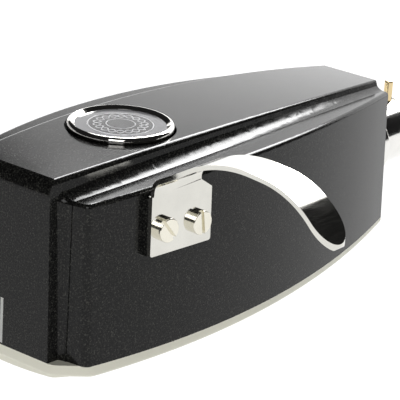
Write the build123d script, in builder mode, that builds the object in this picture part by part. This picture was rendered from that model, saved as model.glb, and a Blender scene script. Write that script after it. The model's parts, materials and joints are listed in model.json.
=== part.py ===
"""Moving-coil phono cartridge with a built-in bayonet headshell.

Millimetres. The origin is the plug's shoulder on the plug's axis. +Y is towards the plug (the rear), +Z is up
and +X is the side with the finger lift. Every physical piece is written as its own STEP file.
"""

import os
from math import cos, radians, sin

from build123d import *

os.makedirs("parts", exist_ok=True)

# ---- driving dimensions -------------------------------------------------------------------------
NOSE_Y = -62.2  # front end of the flat deck
TAIL_Y = -3.1  # rear face of the shell
BASE_Z = -7.8  # bottom edge of the shell

# Four values each, evenly spaced from NOSE_Y to TAIL_Y; a cubic runs through them.
DECK_HALF = (6.0, 7.0, 6.3, 3.9)  # half-width of the raised deck
DECK_HIGH = (20.0, 20.2, 19.3, 17.35)  # deck above the bottom edge
LIP_HALF = (9.7, 12.15, 10.7, 5.9)  # half-width of the outer body at its lip
LIP_DROP = (2.1, 1.75, 1.4, 1.1)  # lip below the deck
SIDE_DRAFT = 0.63  # how much wider the outer body is at its bottom edge
LIP_RADIUS = 0.45

FRONT_Y = NOSE_Y - 2.4  # face of the centre block
OUTER_FRONT_Y = NOSE_Y - 0.7  # face of the outer body beside it
FRONT_HALF = 6.9
FRONT_ROUND = 2.0  # deck to front face
COVE = (1.7, 1.9, 1.6, 1.25)  # width of the hollow at the foot of the deck
COVE_HIGH = (1.3, 1.25, 1.0, 0.78)
WALL = 1.8
ROOF = 2.2

BADGE_Y = -46.6
BADGE_HOLE_R = 6.15
BADGE_R = 5.9
BADGE_DEPTH = 1.0
BADGE_PROUD = 0.7

LIFT_FLARE = 6.5  # degrees the lift's plate turns outward with the side wall
LIFT_LEAN = 2.0  # degrees it leans inward with the wall's draft
PLATE_LONG = 8.8
PLATE_HIGH = 6.2
SHEET = 0.5
LAND = 0.7
LIFT_FRONT = -55.28  # front edge of the lift's strip
LIFT_WIDE = 4.5
LIFT_ROOT = 7.0

PLUG_R = 4.0
PLUG_LONG = 12.0
PLUG_BORE = 3.2
FLANGE_R = 5.0
SHANK_R = 3.6
PIN_Y = 6.0
PIN_R = 0.55
GROOVE_Y = 6.6  # relief groove behind the key pin
GROOVE_WIDE = 0.6
CONTACT_OFF = 1.4
CONTACT_R = 0.5

COVER_FRONT = 1.4  # thickness at the nose
COVER_REAR = 0.75
WINDOW = (10.4, 17.0)  # opening for the stylus, X and Y
WINDOW_Y = -49.0

PIVOT = (0, -44.8, -7.5)
RAKE = 25.0  # degrees the cantilever points down
REACH = 7.9  # pivot to stylus along the cantilever

cartridge_plane = Plane(
    origin=PIVOT, x_dir=(1, 0, 0), z_dir=(0, -cos(radians(RAKE)), -sin(radians(RAKE)))
)
lift_plane = Plane(
    origin=(11.67, -51.1, 6.4),
    x_dir=(sin(radians(LIFT_FLARE)), cos(radians(LIFT_FLARE)), 0),
    z_dir=(
        cos(radians(LIFT_FLARE)) * cos(radians(LIFT_LEAN)),
        -sin(radians(LIFT_FLARE)) * cos(radians(LIFT_LEAN)),
        sin(radians(LIFT_LEAN)),
    ),
)


def along(y, values):
    """Value at y of the cubic through four values evenly spaced from nose to tail."""
    t = 3 * (y - NOSE_Y) / (TAIL_Y - NOSE_Y)
    a, b, c, d = values
    ends = a * (1 - t) * (2 - t) * (3 - t) / 6 + d * t * (t - 1) * (t - 2) / 6
    return ends + b * t * (2 - t) * (3 - t) / 2 + c * t * (t - 1) * (3 - t) / 2


def deck_z(y):
    return BASE_Z + along(y, DECK_HIGH)


def lip_z(y):
    return deck_z(y) - along(y, LIP_DROP)


def mirrored(points):
    """Close a right-hand half outline, given from bottom to top, with its mirror image."""
    return points + [(-x, z) for x, z in reversed(points)]


def stations(first, last, count=8):
    return [first + (last - first) * i / (count - 1) for i in range(count)]


def cross_plane(y):
    """Plane across the body: local x is +X, local y is +Z."""
    return Plane(origin=(0, y, 0), x_dir=(1, 0, 0), z_dir=(0, -1, 0))


def save(part, label, color):
    part.label = label
    part.color = Color(*color)
    export_step(part, f"parts/{label}.step")


# ---- shell --------------------------------------------------------------------------------------
BODY_STATIONS = stations(NOSE_Y - 4, TAIL_Y, 9)

with BuildPart() as centre_block:
    for y in BODY_STATIONS:
        with BuildSketch(cross_plane(y)):
            half = along(y, DECK_HALF)
            drop = along(y, LIP_DROP)
            with BuildLine():
                Polyline(
                    *mirrored(
                        [
                            (half + 0.95, BASE_Z),
                            (half + 0.5, lip_z(y)),
                            (half + 0.1, deck_z(y)),
                        ]
                    ),
                    close=True,
                )
            make_face()
            fillet(vertices().filter_by_position(Axis.Y, deck_z(y) - 0.01, deck_z(y) + 0.01), 0.27 * drop)
    loft()
    with BuildSketch(Plane.XY.offset(BASE_Z)):
        with BuildLine():
            Polyline(
                (-FRONT_HALF, FRONT_Y),
                (FRONT_HALF, FRONT_Y),
                (FRONT_HALF + 3, NOSE_Y + 8),
                (FRONT_HALF + 3, TAIL_Y),
                (-FRONT_HALF - 3, TAIL_Y),
                (-FRONT_HALF - 3, NOSE_Y + 8),
                close=True,
            )
        make_face()
        fillet(vertices().sort_by(Axis.Y)[:2], 0.45)
    extrude(amount=25, mode=Mode.INTERSECT)
    with BuildSketch(Plane.YZ):
        with BuildLine():
            Polyline(
                (FRONT_Y, BASE_Z),
                (TAIL_Y, BASE_Z),
                (TAIL_Y, 14),
                (FRONT_Y, deck_z(NOSE_Y) + 0.02),
                close=True,
            )
        make_face()
        fillet(vertices().group_by(Axis.X)[0].sort_by(Axis.Y)[-1], FRONT_ROUND)
    extrude(amount=20, both=True, mode=Mode.INTERSECT)


def body_outline(grow, front=OUTER_FRONT_Y, corner=0.9):
    """Plan outline that follows the lip of the body, grown sideways."""
    reach = stations(front + 0.4, TAIL_Y, 9)
    with BuildSketch() as outline:
        with BuildLine():
            right = Spline(*[(along(y, LIP_HALF) + grow, y) for y in reach])
            half = along(front + 0.4, LIP_HALF) + grow
            Polyline(right @ 0, (7, front), (-7, front), (-half, front + 0.4))
            mirror(right, about=Plane.YZ)
            Line(right @ 1, (-along(TAIL_Y, LIP_HALF) - grow, TAIL_Y))
        make_face()
        fillet(vertices().filter_by(lambda v: abs(v.Y - front - 0.4) < 0.01), corner)
    return outline.sketch


with BuildPart() as outer_body:
    with BuildSketch(Plane.XY.offset(BASE_Z)):
        add(body_outline(SIDE_DRAFT))
    with BuildSketch(Plane.XY.offset(14)):
        add(body_outline(-0.15))
    loft(ruled=True)
    with BuildSketch(Plane.YZ):
        with BuildLine():
            crest = Spline(*[(y, lip_z(y)) for y in stations(NOSE_Y - 4, TAIL_Y, 7)])
            Polyline(crest @ 1, (TAIL_Y, BASE_Z), (NOSE_Y - 4, BASE_Z), crest @ 0)
        make_face()
    extrude(amount=20, both=True, mode=Mode.INTERSECT)
    brim = edges().filter_by(lambda e: e.center().Z > 8 and e.center().Y < TAIL_Y - 1)
    fillet(brim, LIP_RADIUS)


def cove_profile(x, y, wide, high):
    """Hollow between the deck's side wall at x and the shelf at y, sunk a little into both."""
    sunk = 0.3
    radius = (wide**2 + high**2) / (2 * high)
    with BuildSketch() as profile:
        with BuildLine():
            Line((x - sunk, y + high), (x, y + high))
            RadiusArc((x, y + high), (x + wide, y), -radius)
            Polyline((x + wide, y), (x + wide, y - sunk), (x - sunk, y - sunk), (x - sunk, y + high))
        make_face()
    return profile.sketch


COVE_START = OUTER_FRONT_Y + LIP_RADIUS
COVE_IN = 0.1

with BuildPart() as cove:
    for y in stations(COVE_START, TAIL_Y, 9):
        with BuildSketch(cross_plane(y)):
            add(cove_profile(along(y, DECK_HALF) + COVE_IN, lip_z(y), along(y, COVE), along(y, COVE_HIGH)))
    loft()
    # round the nose and down its front
    turn = Axis((0, COVE_START, lip_z(COVE_START) - LIP_RADIUS), (1, 0, 0))
    revolve(faces().sort_by(Axis.Y)[0], axis=turn, revolution_arc=90)
    extrude(faces().filter_by(Plane.XY).sort_by(Axis.Y)[0], amount=turn.position.Z - BASE_Z)
    mirror(about=Plane.YZ)


def cavity_half(y):
    """Inside of the shell on the +X side, from the open bottom up to the roof."""
    lip = along(y, LIP_HALF) - WALL
    roof = deck_z(y) - ROOF
    return [(lip + SIDE_DRAFT, BASE_Z - 1), (lip, lip_z(y) - ROOF), (along(y, DECK_HALF) - WALL, roof)]


BADGE_Z = deck_z(BADGE_Y)
LIFT_SCREWS = [(-2.45, -0.28), (2.41, -0.56)]
FRAME_POSTS = [(-6.0, -39.5), (6.0, -39.5)]
COVER_POSTS = [(-7.6, -33.0), (7.6, -33.0)]
FRAME_TOP = 1.5
INDEX_HIGH = 5.2
UP = (Align.CENTER, Align.CENTER, Align.MIN)
DOWN = (Align.CENTER, Align.CENTER, Align.MAX)

with BuildPart() as cavity:
    for y in stations(OUTER_FRONT_Y + 1.6, TAIL_Y - 2.0, 7):
        with BuildSketch(cross_plane(y)):
            with BuildLine():
                Polyline(*mirrored(cavity_half(y)), close=True)
            make_face()
    loft()

with BuildPart() as shell:
    add(outer_body.part)
    add(centre_block.part)
    add(cove.part)
    add(cavity.part, mode=Mode.SUBTRACT)
    # raised flat the lift's plate lies on, and the pad behind it for the screws
    with BuildSketch(lift_plane.offset(-1.9)):
        Rectangle(PLATE_LONG, PLATE_HIGH)
        chamfer(vertices().group_by(Axis.X)[-1].sort_by(Axis.Y)[-1], 1.2)
    extrude(amount=1.9 + LAND)
    with BuildSketch(lift_plane.offset(-3.2)):
        with Locations((-0.4, 0)):
            Rectangle(8.4, 4.6)
    extrude(amount=2)
    # posts for the generator frame and the bottom cover
    for x, y in FRAME_POSTS:
        with Locations((x, y, FRAME_TOP)):
            Cylinder(1.9, lip_z(y) - 1.0 - FRAME_TOP, align=UP)
    for x, y in COVER_POSTS:
        with Locations((x, y, BASE_Z)):
            Cylinder(1.9, lip_z(y) - 1.0 - BASE_Z, align=UP)
    # seat of the badge, bore for the plug, screw holes and the groove of the index line
    with Locations((0, BADGE_Y, BADGE_Z - BADGE_DEPTH)):
        Cylinder(BADGE_HOLE_R, 4, align=UP, mode=Mode.SUBTRACT)
    with Locations(Plane(origin=(0, TAIL_Y - 4, 0), z_dir=(0, 1, 0))):
        Cylinder(SHANK_R, 6, align=UP, mode=Mode.SUBTRACT)
    for x, y in LIFT_SCREWS:
        with Locations(lift_plane.offset(LAND).location * Location((x, y, 0))):
            Cylinder(0.7, 3.6, align=DOWN, mode=Mode.SUBTRACT)
    with Locations(*[(x, y, FRAME_TOP) for x, y in FRAME_POSTS]):
        Cylinder(0.7, 4, align=UP, mode=Mode.SUBTRACT)
    with Locations(*[(x, y, BASE_Z) for x, y in COVER_POSTS]):
        Cylinder(0.7, 5, align=UP, mode=Mode.SUBTRACT)
    with Locations((0, FRONT_Y, BASE_Z + 0.2)):
        Box(0.4, 0.3, INDEX_HIGH, align=UP, mode=Mode.SUBTRACT)
save(shell.part, "shell", (0.05, 0.05, 0.05))

with BuildPart() as index_line:
    with Locations((0, FRONT_Y, BASE_Z + 0.2)):
        Box(0.4, 0.15, INDEX_HIGH, align=(Align.CENTER, Align.MIN, Align.MIN))
save(index_line.part, "index_line", (0.8, 0.8, 0.8))

# ---- badge --------------------------------------------------------------------------------------
BADGE_BASE = BADGE_Z - BADGE_DEPTH
BEZEL_IN = BADGE_R - 0.85

with BuildPart() as badge_bezel:
    with BuildSketch(Plane(origin=(0, BADGE_Y, BADGE_BASE), x_dir=(1, 0, 0), z_dir=(0, -1, 0))):
        with BuildLine():
            top = BADGE_DEPTH + BADGE_PROUD
            Polyline((BEZEL_IN, top - 0.35), (BEZEL_IN, 0), (BADGE_R, 0), (BADGE_R, top - 0.4))
            ThreePointArc((BADGE_R, top - 0.4), (BADGE_R - 0.16, top - 0.1), (BADGE_R - 0.42, top))
            Line((BADGE_R - 0.42, top), (BEZEL_IN, top - 0.35))
        make_face()
    revolve(axis=Axis((0, BADGE_Y, 0), (0, 0, 1)))
save(badge_bezel.part, "badge_bezel", (0.8, 0.8, 0.8))

DISC_R = BEZEL_IN - 0.01
DISC_DOME = 150.0

with BuildPart() as badge_disc:
    with Locations((0, BADGE_Y, BADGE_BASE)):
        Cylinder(DISC_R, BADGE_DEPTH + 1, align=UP)
    with Locations((0, BADGE_Y, BADGE_Z + 0.4 - DISC_DOME)):
        Sphere(DISC_DOME, mode=Mode.INTERSECT)
save(badge_disc.part, "badge_disc", (0.1, 0.1, 0.1))

# ---- finger lift --------------------------------------------------------------------------------
ARCH = ((12.43, 9.5), (12.35, 11.44), (20.2, 16.1), (29.4, 15.3), (34.35, 10.4))
ARCH_RADII = (1.5, 13, 10)
LIFT_MID = LIFT_FRONT + LIFT_ROOT / 2
TWIST_END = 0.16  # fraction of the arch by which the strip has turned parallel to Y

with BuildLine() as arch:
    FilletPolyline(*[(x, LIFT_MID, z) for x, z in ARCH], radius=ARCH_RADII)
arch_wire = arch.wires()[0]


def lift_section(t):
    """Plane across the strip at fraction t of the arch; it turns with the plate near the root."""
    turn = radians(LIFT_FLARE) * max(0, 1 - t / TWIST_END)
    return Plane(origin=arch_wire @ t, x_dir=(sin(turn), cos(turn), 0), z_dir=arch_wire % t)


with BuildPart() as finger_lift:
    for t in [TWIST_END * i / 8 for i in range(9)]:
        with BuildSketch(lift_section(t)):
            Rectangle(LIFT_ROOT, SHEET)
    loft()
    with BuildSketch(lift_section(TWIST_END)):
        Rectangle(LIFT_ROOT, SHEET)
    with BuildLine(mode=Mode.PRIVATE) as reach_line:
        add(arch_wire.trim(TWIST_END, 1))
    sweep(path=reach_line.wires()[0])
    # plan of the strip: wide root, narrow arch, round end
    with BuildSketch(Plane.XY.offset(12)):
        with BuildLine():
            tip_x = 34.35
            rear, root = LIFT_FRONT + LIFT_WIDE, LIFT_FRONT + LIFT_ROOT + 0.3
            end_r = LIFT_WIDE / 2
            Polyline((11, root), (11, LIFT_FRONT - 0.1), (12.6, LIFT_FRONT))
            Line((12.6, LIFT_FRONT), (tip_x - end_r, LIFT_FRONT))
            ThreePointArc((tip_x - end_r, LIFT_FRONT), (tip_x, LIFT_FRONT + end_r), (tip_x - end_r, rear))
            Polyline((tip_x - end_r, rear), (16.8, rear))
            TangentArc((16.8, rear), (13.4, root), tangent=(-1, 0.12))
            Line((13.4, root), (11, root))
        make_face()
    extrude(amount=8, both=True, mode=Mode.INTERSECT)
    with BuildSketch(lift_plane.offset(LAND)):
        with BuildLine():
            low, high = -PLATE_HIGH / 2, PLATE_HIGH / 2
            Polyline((-PLATE_LONG / 2, low), (PLATE_LONG / 2, low), (PLATE_LONG / 2, high - 0.15))
            Polyline((PLATE_LONG / 2, high - 0.15), (2.8, high + 0.95), (-PLATE_LONG / 2 + 0.1, high + 0.4))
            Line((-PLATE_LONG / 2 + 0.1, high + 0.4), (-PLATE_LONG / 2, low))
        make_face()
        fillet(vertices().group_by(Axis.Y)[0], 0.3)
    extrude(amount=SHEET)
    with Locations(lift_plane.offset(LAND)):
        with Locations(*LIFT_SCREWS):
            Cylinder(0.75, 2, mode=Mode.SUBTRACT)
save(finger_lift.part, "finger_lift", (0.8, 0.8, 0.8))

HEAD_R = 1.34
HEAD_HIGH = 0.85
with BuildPart() as lift_screws:
    for (x, y), angle in zip(LIFT_SCREWS, (-52, 96)):
        spot = lift_plane.offset(LAND + SHEET).location * Location((x, y, 0), (0, 0, angle))
        with Locations(spot):
            Cylinder(HEAD_R, HEAD_HIGH, align=UP)
        fillet(edges(Select.LAST).filter_by(GeomType.CIRCLE).sort_by(Axis.X)[-1], 0.15)
        with Locations(spot):
            Cylinder(0.7, 3.6, align=DOWN)
        with Locations(spot * Location((0, 0, HEAD_HIGH))):
            Box(3, 0.42, 0.8, mode=Mode.SUBTRACT)
save(lift_screws.part, "lift_screws", (0.7, 0.7, 0.7))

# ---- plug ---------------------------------------------------------------------------------------
def axial(y):
    """Plane square to the plug's axis, facing rearward: local x is -X, local y is +Z."""
    return Plane(origin=(0, y, 0), x_dir=(-1, 0, 0), z_dir=(0, 1, 0))


NUT_FRONT = TAIL_Y - 3.9
NUT_BACK = TAIL_Y - 2.0
INSULATOR_LONG = 3.0

with BuildPart() as plug_sleeve:
    with BuildSketch(axial(0)):
        Circle(PLUG_R)
    extrude(amount=PLUG_LONG)
    chamfer(edges().filter_by(GeomType.CIRCLE).sort_by(Axis.Y)[-1], 0.3)
    with BuildSketch(axial(TAIL_Y)):
        Circle(FLANGE_R)
    extrude(amount=-TAIL_Y)
    with BuildSketch(axial(GROOVE_Y)):
        Circle(PLUG_R)
        Circle(PLUG_R - 0.25, mode=Mode.SUBTRACT)
    extrude(amount=GROOVE_WIDE, mode=Mode.SUBTRACT)
    flange_rims = edges().filter_by(GeomType.CIRCLE).filter_by(lambda e: e.radius > FLANGE_R - 0.01)
    fillet(flange_rims, 0.25)
    with BuildSketch(axial(NUT_FRONT)):
        Circle(SHANK_R)
    extrude(amount=TAIL_Y - NUT_FRONT)
    with BuildSketch(axial(NUT_FRONT)):
        Circle(PLUG_BORE - 0.4)
    extrude(amount=PLUG_LONG - INSULATOR_LONG - NUT_FRONT, mode=Mode.SUBTRACT)
    with BuildSketch(axial(PLUG_LONG - INSULATOR_LONG)):
        Circle(PLUG_BORE)
    extrude(amount=INSULATOR_LONG, mode=Mode.SUBTRACT)
    with Locations((0, PIN_Y, 0)):
        Cylinder(PIN_R, 6, align=UP, mode=Mode.SUBTRACT)
save(plug_sleeve.part, "plug_sleeve", (0.8, 0.8, 0.8))

with BuildPart() as locating_pin:
    with Locations((0, PIN_Y, PLUG_BORE - 0.3)):
        Cylinder(PIN_R, 3.7, align=UP)
    fillet(edges().filter_by(GeomType.CIRCLE).sort_by(Axis.Z)[-1], 0.2)
save(locating_pin.part, "locating_pin", (0.8, 0.65, 0.35))

with BuildPart() as plug_nut:
    with BuildSketch(axial(NUT_FRONT + 0.1)):
        Circle(SHANK_R + 0.95)
        Circle(SHANK_R, mode=Mode.SUBTRACT)
        with PolarLocations(SHANK_R + 0.95, 2, start_angle=90):
            Rectangle(0.8, 0.9, mode=Mode.SUBTRACT)
    extrude(amount=NUT_BACK - NUT_FRONT - 0.1)
save(plug_nut.part, "plug_nut", (0.8, 0.65, 0.35))

CONTACTS = [(x, z) for x in (-CONTACT_OFF, CONTACT_OFF) for z in (-CONTACT_OFF, CONTACT_OFF)]
CONTACT_FRONT = PLUG_LONG - INSULATOR_LONG - 1.5

with BuildPart() as plug_insulator:
    with BuildSketch(axial(PLUG_LONG - INSULATOR_LONG)):
        Circle(PLUG_BORE)
        with Locations(*CONTACTS):
            Circle(CONTACT_R, mode=Mode.SUBTRACT)
    extrude(amount=INSULATOR_LONG - 0.3)
save(plug_insulator.part, "plug_insulator", (0.1, 0.1, 0.1))

with BuildPart() as contact_pins:
    with BuildSketch(axial(CONTACT_FRONT)):
        with Locations(*CONTACTS):
            Circle(CONTACT_R)
    extrude(amount=PLUG_LONG + 0.8 - CONTACT_FRONT)
    fillet(edges().filter_by(GeomType.CIRCLE).group_by(Axis.Y)[-1], 0.3)
save(contact_pins.part, "contact_pins", (0.85, 0.7, 0.3))

# ---- bottom cover -------------------------------------------------------------------------------
CHIN_HALF = 9.0
CHIN_LONG = 13.0

with BuildSketch() as cover_outline:
    with BuildLine():
        reach = stations(OUTER_FRONT_Y + 1.2, TAIL_Y, 9)
        right = Spline(*[(along(y, LIP_HALF) + SIDE_DRAFT, y) for y in reach])
        half = along(OUTER_FRONT_Y + 1.2, LIP_HALF) + SIDE_DRAFT
        Polyline(right @ 0, (7.3, FRONT_Y), (-7.3, FRONT_Y), (-half, OUTER_FRONT_Y + 1.2))
        mirror(right, about=Plane.YZ)
        Line(right @ 1, (-along(TAIL_Y, LIP_HALF) - SIDE_DRAFT, TAIL_Y))
    make_face()
    fillet(vertices().filter_by(lambda v: v.Y < OUTER_FRONT_Y + 2), 1.5)

# chin under the nose: a shallow arc across, running out rearward
with BuildPart() as chin:
    with BuildSketch(cross_plane(FRONT_Y - 1)):
        with BuildLine():
            under = BASE_Z - COVER_FRONT + 0.1
            ThreePointArc((-CHIN_HALF, under), (0, under - 0.85), (CHIN_HALF, under))
            Polyline((CHIN_HALF, under), (CHIN_HALF, BASE_Z), (-CHIN_HALF, BASE_Z), (-CHIN_HALF, under))
        make_face()
    extrude(amount=-CHIN_LONG)
    with BuildSketch(Plane.YZ):
        with BuildLine():
            Polyline(
                (FRONT_Y - 1, BASE_Z),
                (FRONT_Y - 1 + CHIN_LONG, BASE_Z),
                (FRONT_Y - 1 + CHIN_LONG, BASE_Z - 0.9),
                (FRONT_Y - 1, BASE_Z - 2.3),
                close=True,
            )
        make_face()
    extrude(amount=20, both=True, mode=Mode.INTERSECT)
    with BuildSketch(Plane.XY.offset(BASE_Z)):
        add(cover_outline.sketch)
    extrude(amount=-3, taper=14, mode=Mode.INTERSECT)

with BuildPart() as bottom_cover:
    with BuildSketch(Plane.XY.offset(BASE_Z)):
        add(cover_outline.sketch)
    extrude(amount=-3)
    with BuildSketch(Plane.YZ):
        with BuildLine():
            Polyline(
                (FRONT_Y - 1, BASE_Z),
                (TAIL_Y + 1, BASE_Z),
                (TAIL_Y + 1, BASE_Z - COVER_REAR),
                (FRONT_Y - 1, BASE_Z - COVER_FRONT),
                close=True,
            )
        make_face()
    extrude(amount=20, both=True, mode=Mode.INTERSECT)
    fillet(edges().filter_by(lambda e: e.center().Z < BASE_Z - 0.7 and abs(e.tangent_at(0.5).Z) < 0.3), 0.4)
    add(chin.part)
    with Locations((0, WINDOW_Y, BASE_Z)):
        Box(*WINDOW, 6, mode=Mode.SUBTRACT)
    with Locations(*[Location((x, y, BASE_Z - 1.03), (180, 0, 0)) for x, y in COVER_POSTS]):
        CounterSinkHole(0.75, 1.3, 3)
save(bottom_cover.part, "bottom_cover", (0.8, 0.78, 0.68))

with BuildPart() as cover_screws:
    for x, y in COVER_POSTS:
        with Locations((x, y, BASE_Z - 1.0)):
            Cone(1.22, 0.7, 0.6, align=UP)
            Cylinder(0.7, 5.6, align=UP)
        with Locations((x, y, BASE_Z - 1.0)):
            Box(2.6, 0.35, 0.5, mode=Mode.SUBTRACT)
save(cover_screws.part, "cover_screws", (0.8, 0.8, 0.8))

# ---- generator, built on the raked plane: local x is +X, y is up, z points down the cantilever ----
MAGNET_REAR, MAGNET_FRONT = -3.2, 0.8
POLE_THICK = 1.0
POLE_LOW, POLE_HIGH = -1.6, 6.8
MAGNET_LOW = 2.2
GEN_HALF = 3.5
CHEEK = 1.3
AIR_GAP = 0.66  # armature's centre to the damper


def slab(x0, x1, y0, y1, z0, z1):
    """Box between two corners, as a location and its sizes."""
    centre = Location(((x0 + x1) / 2, (y0 + y1) / 2, (z0 + z1) / 2))
    return centre, (x1 - x0, y1 - y0, z1 - z0)


with BuildPart() as magnet:
    spot, size = slab(-GEN_HALF, GEN_HALF, MAGNET_LOW, POLE_HIGH, MAGNET_REAR, MAGNET_FRONT)
    with Locations(cartridge_plane.location * spot):
        Box(*size)
save(magnet.part, "magnet", (0.3, 0.3, 0.32))

with BuildPart() as front_pole:
    spot, size = slab(-GEN_HALF, GEN_HALF, POLE_LOW, POLE_HIGH, MAGNET_FRONT, MAGNET_FRONT + POLE_THICK)
    with Locations(cartridge_plane.location * spot):
        Box(*size)
    with Locations(cartridge_plane.offset(MAGNET_FRONT)):
        Cylinder(0.9, 5, mode=Mode.SUBTRACT)
save(front_pole.part, "front_pole", (0.7, 0.7, 0.7))

with BuildPart() as rear_pole:
    spot, size = slab(-GEN_HALF, GEN_HALF, POLE_LOW, POLE_HIGH, MAGNET_REAR - POLE_THICK, MAGNET_REAR)
    with Locations(cartridge_plane.location * spot):
        Box(*size)
    boss_front = -AIR_GAP - 0.6
    with Locations(cartridge_plane.offset(MAGNET_REAR)):
        Cylinder(1.2, boss_front - MAGNET_REAR, align=UP)
        Cylinder(0.3, 8, mode=Mode.SUBTRACT)
save(rear_pole.part, "rear_pole", (0.7, 0.7, 0.7))

with BuildPart() as damper:
    with Locations(cartridge_plane.offset(-AIR_GAP)):
        Cylinder(0.95, 0.6, align=DOWN)
        Cylinder(0.2, 3, mode=Mode.SUBTRACT)
save(damper.part, "damper", (0.1, 0.1, 0.1))

with BuildPart() as suspension_wire:
    with Locations(cartridge_plane.offset(-0.3)):
        Cylinder(0.08, 2.3, align=DOWN)
save(suspension_wire.part, "suspension_wire", (0.8, 0.8, 0.8))

with BuildPart() as armature:
    with Locations(cartridge_plane.location):
        Box(1.8, 1.8, 0.6)
save(armature.part, "armature", (0.9, 0.9, 0.85))

COIL_OFF = 0.55
COIL_WIDE = 0.4
with BuildPart() as left_coil:
    for x in (-COIL_OFF, COIL_OFF):
        with Locations(cartridge_plane.location * Location((x, 0, 0))):
            Box(COIL_WIDE, 2.04, 0.84)
            Box(COIL_WIDE, 1.8, 0.6, mode=Mode.SUBTRACT)
save(left_coil.part, "left_coil", (0.7, 0.4, 0.2))

with BuildPart() as right_coil:
    for y in (-COIL_OFF, COIL_OFF):
        with Locations(cartridge_plane.location * Location((0, y, 0))):
            Box(2.04, COIL_WIDE, 1.1)
            Box(1.8, COIL_WIDE, 0.86, mode=Mode.SUBTRACT)
save(right_coil.part, "right_coil", (0.7, 0.4, 0.2))

tip_spot = cartridge_plane.from_local_coords(Vector(0, 0, REACH))

with BuildPart() as stylus:
    with Locations(tip_spot - Vector(0, 0, 0.45)):
        Cylinder(0.13, 0.75, align=UP)
        Cone(0.13, 0.02, 0.4, rotation=(180, 0, 0), align=UP)
save(stylus.part, "stylus", (0.9, 0.9, 0.95))

with BuildPart() as cantilever:
    with Locations(cartridge_plane.offset(0.3)):
        Cylinder(0.25, REACH, align=UP)
    with Locations(cartridge_plane.offset(0.8)):
        Cylinder(0.15, REACH, align=UP, mode=Mode.SUBTRACT)
    with Locations(tip_spot):
        Cylinder(0.13, 2, mode=Mode.SUBTRACT)
save(cantilever.part, "cantilever", (0.85, 0.85, 0.87))

FRAME_HALF = GEN_HALF + CHEEK
FRAME_REAR = MAGNET_REAR - POLE_THICK
BRACKET_Y = (-43.0, -37.6)
with BuildPart() as generator_frame:
    for bounds in (
        (-FRAME_HALF, FRAME_HALF, POLE_HIGH, POLE_HIGH + 1.2, FRAME_REAR - 1.0, 2.0),
        (-FRAME_HALF, -GEN_HALF, -0.2, POLE_HIGH, FRAME_REAR, 1.8),
        (GEN_HALF, FRAME_HALF, -0.2, POLE_HIGH, FRAME_REAR, 1.8),
        (-FRAME_HALF, FRAME_HALF, POLE_LOW + 0.2, POLE_HIGH, FRAME_REAR - 1.0, FRAME_REAR),
    ):
        spot, size = slab(*bounds)
        with Locations(cartridge_plane.location * spot):
            Box(*size)
    spot, size = slab(-7.8, 7.8, *BRACKET_Y, FRAME_TOP - 2.0, FRAME_TOP)
    with Locations(spot):
        Box(*size)
    fillet(edges().filter_by(Axis.Z).filter_by(lambda e: e.length > 1.9).group_by(Axis.Y)[-1], 1.2)
    with Locations(*[(x, y, FRAME_TOP) for x, y in FRAME_POSTS]):
        Cylinder(0.75, 6, mode=Mode.SUBTRACT)
save(generator_frame.part, "generator_frame", (0.15, 0.15, 0.15))

with BuildPart() as generator_screws:
    for x, y in FRAME_POSTS:
        with Locations((x, y, FRAME_TOP - 2.0)):
            Cylinder(1.2, 0.9, align=DOWN)
            Cylinder(0.7, 5.6, align=UP)
        with Locations((x, y, FRAME_TOP - 2.9)):
            Box(3, 0.4, 0.8, mode=Mode.SUBTRACT)
save(generator_screws.part, "generator_screws", (0.8, 0.8, 0.8))

TERMINAL_X = (-3.6, -1.2, 1.2, 3.6)
TERMINAL_END = BRACKET_Y[1] + 3.4
with BuildPart() as terminal_strip:
    spot, size = slab(-5, 5, BRACKET_Y[1], BRACKET_Y[1] + 1.0, -2.5, FRAME_TOP)
    with Locations(spot):
        Box(*size)
save(terminal_strip.part, "terminal_strip", (0.5, 0.3, 0.15))

with BuildPart() as terminal_pins:
    with BuildSketch(axial(BRACKET_Y[1] + 1.0)):
        with Locations(*[(x, 0) for x in TERMINAL_X]):
            Circle(0.3)
    extrude(amount=TERMINAL_END - BRACKET_Y[1] - 1.0)
save(terminal_pins.part, "terminal_pins", (0.85, 0.7, 0.3))

# ---- lead wires from the terminals to the plug's contacts ----------------------------------------
WIRE_R = 0.25
WIRE_BEND = 8.0
leads = (
    ("white_lead", TERMINAL_X[0], -CONTACT_OFF, CONTACT_OFF, (0.9, 0.9, 0.88)),
    ("blue_lead", TERMINAL_X[1], -CONTACT_OFF, -CONTACT_OFF, (0.1, 0.2, 0.6)),
    ("green_lead", TERMINAL_X[2], CONTACT_OFF, -CONTACT_OFF, (0.1, 0.45, 0.2)),
    ("red_lead", TERMINAL_X[3], CONTACT_OFF, CONTACT_OFF, (0.7, 0.08, 0.06)),
)
for label, start_x, end_x, end_z, color in leads:
    with BuildPart() as lead:
        with BuildLine() as route:
            FilletPolyline(
                (start_x, TERMINAL_END, 0),
                (start_x, -27, 0),
                (end_x, -13, end_z),
                (end_x, CONTACT_FRONT, end_z),
                radius=WIRE_BEND,
            )
        with BuildSketch(Plane(origin=route.line @ 0, z_dir=(0, 1, 0))):
            Circle(WIRE_R)
        sweep(path=route.wires()[0])
    save(lead.part, label, color)
    print(label, "bend radius", WIRE_BEND, "length", round(route.wires()[0].length, 2))
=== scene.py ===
import json
from math import cos, pi, radians, sin

import bpy
from mathutils import Matrix, Vector


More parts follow.
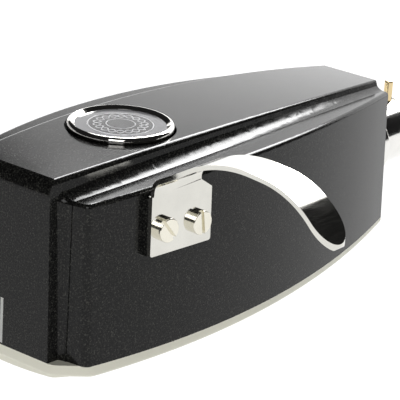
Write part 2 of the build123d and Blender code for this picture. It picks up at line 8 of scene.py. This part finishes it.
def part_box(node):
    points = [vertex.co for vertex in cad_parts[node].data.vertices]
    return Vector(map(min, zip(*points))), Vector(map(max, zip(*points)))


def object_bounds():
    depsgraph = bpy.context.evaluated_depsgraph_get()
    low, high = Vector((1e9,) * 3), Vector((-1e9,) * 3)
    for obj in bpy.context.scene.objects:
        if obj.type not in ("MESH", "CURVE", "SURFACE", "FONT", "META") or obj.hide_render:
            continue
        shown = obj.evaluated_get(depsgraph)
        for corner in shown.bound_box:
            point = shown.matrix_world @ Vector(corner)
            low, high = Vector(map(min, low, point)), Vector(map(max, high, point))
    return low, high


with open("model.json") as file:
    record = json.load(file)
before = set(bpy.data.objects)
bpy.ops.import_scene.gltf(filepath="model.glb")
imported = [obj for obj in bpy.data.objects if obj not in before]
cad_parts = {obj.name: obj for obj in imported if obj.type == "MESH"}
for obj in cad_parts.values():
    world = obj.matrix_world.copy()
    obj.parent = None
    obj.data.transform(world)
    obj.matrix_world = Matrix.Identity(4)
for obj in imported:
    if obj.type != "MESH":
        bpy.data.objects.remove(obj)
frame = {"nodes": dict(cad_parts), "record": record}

cad_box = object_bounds()
scene = bpy.context.scene
scene.view_settings.view_transform = "Standard"


# ---- camera -------------------------------------------------------------------------------------
AZIMUTH, ELEVATION, ROLL = 37.94, 20.73, 3.51  # degrees
AIM = Vector((-0.00092, -0.0314, 0.000215))
AWAY = 0.25606
SENSOR, LENS = 36, 198.297  # mm
SHIFT = (0.0111, -0.0102)


def unit_axes(azimuth, elevation, roll):
    """The camera's right, up and backward directions."""
    a, e, t = radians(azimuth), radians(elevation), radians(roll)
    back = Vector((sin(a) * cos(e), -cos(a) * cos(e), sin(e)))
    right = Vector((cos(a), sin(a), 0))
    up = back.cross(right)
    return cos(t) * right + sin(t) * up, -sin(t) * right + cos(t) * up, back


cam_x, cam_y, cam_z = unit_axes(AZIMUTH, ELEVATION, ROLL)
camera = bpy.data.objects.new("camera", bpy.data.cameras.new("camera"))
scene.collection.objects.link(camera)
spot = Matrix((cam_x, cam_y, cam_z)).transposed().to_4x4()
spot.translation = AIM + cam_z * AWAY
camera.matrix_world = spot
camera.data.sensor_width = SENSOR
camera.data.lens = LENS
camera.data.shift_x, camera.data.shift_y = SHIFT
camera.data.clip_start = 0.01
camera.data.clip_end = 20
scene.camera = camera


# ---- materials ----------------------------------------------------------------------------------
class Nodes:
    """A small builder for one material's node tree."""

    def __init__(self, name):
        self.material = bpy.data.materials.new(name)
        self.material.use_nodes = True
        self.tree = self.material.node_tree
        self.shader = self.tree.nodes["Principled BSDF"]
        coord = self.tree.nodes.new("ShaderNodeTexCoord")
        self.place = coord.outputs["Object"]

    def set(self, **values):
        for key, value in values.items():
            self.shader.inputs[key.replace("_", " ")].default_value = value

    def link(self, source, socket):
        self.tree.links.new(source, self.shader.inputs[socket])

    def mapped(self, socket, value):
        """The object's coordinates with a Scale or a Location applied."""
        node = self.tree.nodes.new("ShaderNodeMapping")
        node.inputs[socket].default_value = value
        self.tree.links.new(self.place, node.inputs["Vector"])
        return node.outputs["Vector"]

    def split(self, vector):
        node = self.tree.nodes.new("ShaderNodeSeparateXYZ")
        self.tree.links.new(vector, node.inputs["Vector"])
        return node.outputs["X"], node.outputs["Y"]

    def noise(self, scale, detail=3.0, rough=0.6, place=None):
        node = self.tree.nodes.new("ShaderNodeTexNoise")
        node.inputs["Scale"].default_value = scale
        node.inputs["Detail"].default_value = detail
        node.inputs["Roughness"].default_value = rough
        self.tree.links.new(place or self.place, node.inputs["Vector"])
        return node.outputs["Fac"]

    def ramp(self, source, *stops):
        node = self.tree.nodes.new("ShaderNodeValToRGB")
        for i, (at, value) in enumerate(stops):
            if i > 1:
                node.color_ramp.elements.new(at)
            node.color_ramp.elements[i].position = at
            colour = value if hasattr(value, "__len__") else (value, value, value)
            node.color_ramp.elements[i].color = (*colour, 1)
        self.tree.links.new(source, node.inputs["Fac"])
        return node.outputs["Color"]

    def math(self, kind, a, b=None, clamp=False):
        node = self.tree.nodes.new("ShaderNodeMath")
        node.operation = kind
        node.use_clamp = clamp
        for i, value in enumerate((a, b)):
            if value is None:
                continue
            if isinstance(value, (int, float)):
                node.inputs[i].default_value = value
            else:
                self.tree.links.new(value, node.inputs[i])
        return node.outputs[0]

    def mix(self, a, share, b):
        """That share of a, and the rest of b."""
        return self.math("ADD", self.math("MULTIPLY", a, share), self.math("MULTIPLY", b, 1 - share))

    def bump(self, height, strength, distance):
        node = self.tree.nodes.new("ShaderNodeBump")
        node.inputs["Strength"].default_value = strength
        node.inputs["Distance"].default_value = distance
        self.tree.links.new(height, node.inputs["Height"])
        self.link(node.outputs["Normal"], "Normal")


def lacquer():
    """Black gloss with a fine pale speckle."""
    m = Nodes("black_resin")
    m.set(Base_Color=(0.012, 0.012, 0.012, 1), Roughness=0.15, IOR=1.28)
    speck = m.noise(5200, 2, 0.7)
    cloud = m.noise(160)
    shade = m.ramp(speck, (0.38, 0.005), (0.55, (0.011, 0.011, 0.0105)), (0.7, (0.06, 0.06, 0.052)))
    m.link(shade, "Base Color")
    m.link(m.ramp(m.mix(cloud, 0.4, speck), (0.3, 0.11), (0.7, 0.18)), "Roughness")
    m.bump(speck, 0.05, 0.000012)
    return m.material


def metal(name, colour, rough, grain=(1, 1, 1), scale=900, spread=0.06):
    """Bright metal with fine lines drawn out along the small axis of grain."""
    m = Nodes(name)
    m.set(Base_Color=(*colour, 1), Metallic=1.0, Roughness=rough)
    lines = m.noise(scale, 4, 0.65, m.mapped("Scale", grain))
    wear = m.noise(220)
    low, high = max(0.02, rough - spread), rough + spread
    m.link(m.ramp(m.mix(lines, 0.65, wear), (0.3, low), (0.7, high)), "Roughness")
    dark = tuple(c * 0.93 for c in colour)
    m.link(m.ramp(wear, (0.3, dark), (0.62, colour)), "Base Color")
    m.bump(lines, 0.3, 0.000002)
    return m.material


def plastic(name, colour, rough=0.45, tint=0.86):
    """Plain colour with broad clouds down to tint times its brightness, and a fine grain."""
    m = Nodes(name)
    m.set(Base_Color=(*colour, 1), Roughness=rough)
    fine = m.noise(2600)
    broad = m.noise(130)
    dark = tuple(c * tint for c in colour)
    m.link(m.ramp(m.mix(fine, 0.1, broad), (0.3, dark), (0.65, colour)), "Base Color")
    m.link(m.ramp(fine, (0.3, rough - 0.06), (0.7, rough + 0.06)), "Roughness")
    m.bump(fine, 0.25, 0.00001)
    return m.material


WAVES, WAVE_HIGH, WAVE_RADIUS, WAVE_HALF = 9.0, 0.00042, 0.0026, 0.00009
RINGS = ((0.0036, 0.00007), (0.0016, 0.00006))  # radius and half width
RIM_RADIUS, RIM_SHADE = 0.0037, 0.3


def badge():
    """Black gloss insert with rings of fine generic ornament around its centre."""
    low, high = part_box("badge_disc")
    m = Nodes("badge_gloss")
    m.set(Base_Color=(0.01, 0.01, 0.012, 1), Roughness=0.12, IOR=1.5)
    x, y = m.split(m.mapped("Location", -(low + high) / 2))
    radius = m.math("SQRT", m.math("ADD", m.math("MULTIPLY", x, x), m.math("MULTIPLY", y, y)))
    angle = m.math("ARCTAN2", y, x)
    masks = []
    for waves in (WAVES, -WAVES):
        wave = m.math("MULTIPLY", m.math("SINE", m.math("MULTIPLY", angle, waves)), WAVE_HIGH)
        off = m.math("ABSOLUTE", m.math("SUBTRACT", m.math("ADD", radius, wave), WAVE_RADIUS))
        masks.append(m.math("LESS_THAN", off, WAVE_HALF))
    for ring, half in RINGS:
        off = m.math("ABSOLUTE", m.math("SUBTRACT", radius, ring))
        masks.append(m.math("LESS_THAN", off, half))
    line = m.math("MULTIPLY", m.math("GREATER_THAN", radius, RIM_RADIUS), RIM_SHADE)
    for mask in masks:
        line = m.math("MAXIMUM", line, mask)
    m.link(m.ramp(line, (0.0, (0.008, 0.008, 0.01)), (1.0, (0.6, 0.6, 0.62))), "Base Color")
    m.link(m.ramp(m.noise(900), (0.3, 0.08), (0.7, 0.16)), "Roughness")
    m.bump(line, 0.4, 0.00004)
    return m.material


materials = {
    "shell_black": lacquer(),
    "index_paint": plastic("index_grey", (0.55, 0.55, 0.53), 0.5),
    "bezel_chrome": metal("bezel_chrome", (0.86, 0.84, 0.8), 0.07, scale=1500, spread=0.03),
    "badge_black": badge(),
    "lift_steel": metal("lift_nickel", (0.71, 0.7, 0.65), 0.11, grain=(1, 0.08, 1), scale=2600),
    "screw_nickel": metal("screw_nickel", (0.82, 0.79, 0.69), 0.16, grain=(1, 1, 0.1), scale=2200),
    "plug_nickel": metal("plug_nickel", (0.84, 0.83, 0.8), 0.12, grain=(1, 0.05, 1), scale=3000),
    "pin_brass": metal("pin_brass", (0.78, 0.62, 0.36), 0.2),
    "insulator": plastic("insulator_black", (0.02, 0.02, 0.02), 0.4),
    "gold": metal("contact_gold", (0.9, 0.68, 0.3), 0.15),
    "cover_cream": plastic("cover_cream", (0.76, 0.745, 0.63), 0.42, tint=0.94),
    "frame_black": plastic("frame_black", (0.03, 0.03, 0.03), 0.5),
    "magnet_grey": metal("magnet_grey", (0.3, 0.3, 0.32), 0.4),
    "pole_iron": metal("pole_iron", (0.6, 0.6, 0.58), 0.28),
    "rubber_black": plastic("damper_rubber", (0.02, 0.02, 0.02), 0.8),
    "wire_steel": metal("wire_steel", (0.7, 0.7, 0.7), 0.25),
    "armature_white": plastic("armature_white", (0.75, 0.74, 0.68), 0.5),
    "copper": metal("coil_copper", (0.72, 0.36, 0.18), 0.3, grain=(1, 1, 0.05), scale=9000),
    "cantilever_alloy": metal("cantilever_alloy", (0.85, 0.85, 0.87), 0.2),
    "diamond": plastic("stylus_diamond", (0.75, 0.8, 0.85), 0.15),
    "strip_brown": plastic("strip_brown", (0.22, 0.12, 0.06), 0.55, tint=0.7),
    "white_cover": plastic("lead_white", (0.75, 0.75, 0.72), 0.5),
    "blue_cover": plastic("lead_blue", (0.03, 0.09, 0.42), 0.5),
    "green_cover": plastic("lead_green", (0.02, 0.28, 0.08), 0.5),
    "red_cover": plastic("lead_red", (0.5, 0.02, 0.015), 0.5),
}
for part in frame["record"]["subparts"]:
    for slot in frame["nodes"][part["node"]].material_slots:
        slot.material = materials[part["material_slot"]]


# ---- floor, world and lights --------------------------------------------------------------------
FLOOR_SIZE, FLOOR_DROP = 6, 0.02
bpy.ops.mesh.primitive_plane_add(size=FLOOR_SIZE, location=(0, 0, cad_box[0].z - FLOOR_DROP))
floor = bpy.context.object
floor.name = "floor"
paper = Nodes("floor_white")
paper.set(Base_Color=(0.1, 0.1, 0.1, 1), Roughness=0.9)
paper.set(Emission_Color=(1, 1, 1, 1), Emission_Strength=0.95)
floor.data.materials.append(paper.material)

world = bpy.data.worlds.new("studio")
scene.world = world
world.use_nodes = True
world.node_tree.nodes["Background"].inputs["Color"].default_value = (0.012, 0.012, 0.012, 1)


def card(name, where, aim_at, size, strength, fade=0.001, fall=0.0):
    """White card that glows, fading over that fraction at its edges and falling off towards its top."""
    bpy.ops.mesh.primitive_plane_add(size=1, location=where)
    sheet = bpy.context.object
    sheet.name = name
    sheet.scale = (*size, 1)
    sheet.rotation_mode = "QUATERNION"
    sheet.rotation_quaternion = (Vector(aim_at) - Vector(where)).to_track_quat("Z", "Y")
    glow = Nodes(name)
    glow.set(Base_Color=(0, 0, 0, 1), Emission_Color=(1, 1, 1, 1), Emission_Strength=strength)
    across, up = glow.split(glow.place)
    climb = glow.math("MULTIPLY", glow.math("ADD", up, 0.5), fall)
    level = glow.math("MULTIPLY", glow.math("SUBTRACT", 1.0, climb), strength)
    for along in (across, up):
        inside = glow.math("SUBTRACT", 0.5, glow.math("ABSOLUTE", along))
        level = glow.math("MULTIPLY", level, glow.math("DIVIDE", inside, fade, clamp=True))
    glow.link(level, "Emission Strength")
    sheet.data.materials.append(glow.material)


def softbox(name, where, aim_at, size, radiance):
    """Area light seen at the given radiance by what it reflects in."""
    data = bpy.data.lights.new(name, "AREA")
    data.shape = "RECTANGLE"
    data.size, data.size_y = size
    data.energy = radiance * pi * size[0] * size[1]
    lamp = bpy.data.objects.new(name, data)
    scene.collection.objects.link(lamp)
    lamp.location = where
    lamp.rotation_mode = "QUATERNION"
    lamp.rotation_quaternion = (Vector(aim_at) - Vector(where)).to_track_quat("-Z", "Y")


card("back_card", (-0.62, 0.7, 0.19), (-0.62, 0, 0.19), (1.6, 0.5), 2.2, fall=0.46)
card("left_card", (-1.2, 0.0, 0.13), (0, 0, 0.13), (1.2, 0.34), 0.35)
card("back_softbox", (-0.17, 0.46, 0.4), (0, -0.03, 0), (0.6, 0.26), 20, fade=0.22)
softbox("front_fill", (0.35, -0.6, 0.45), (0, -0.03, 0), (0.4, 0.4), 4.0)
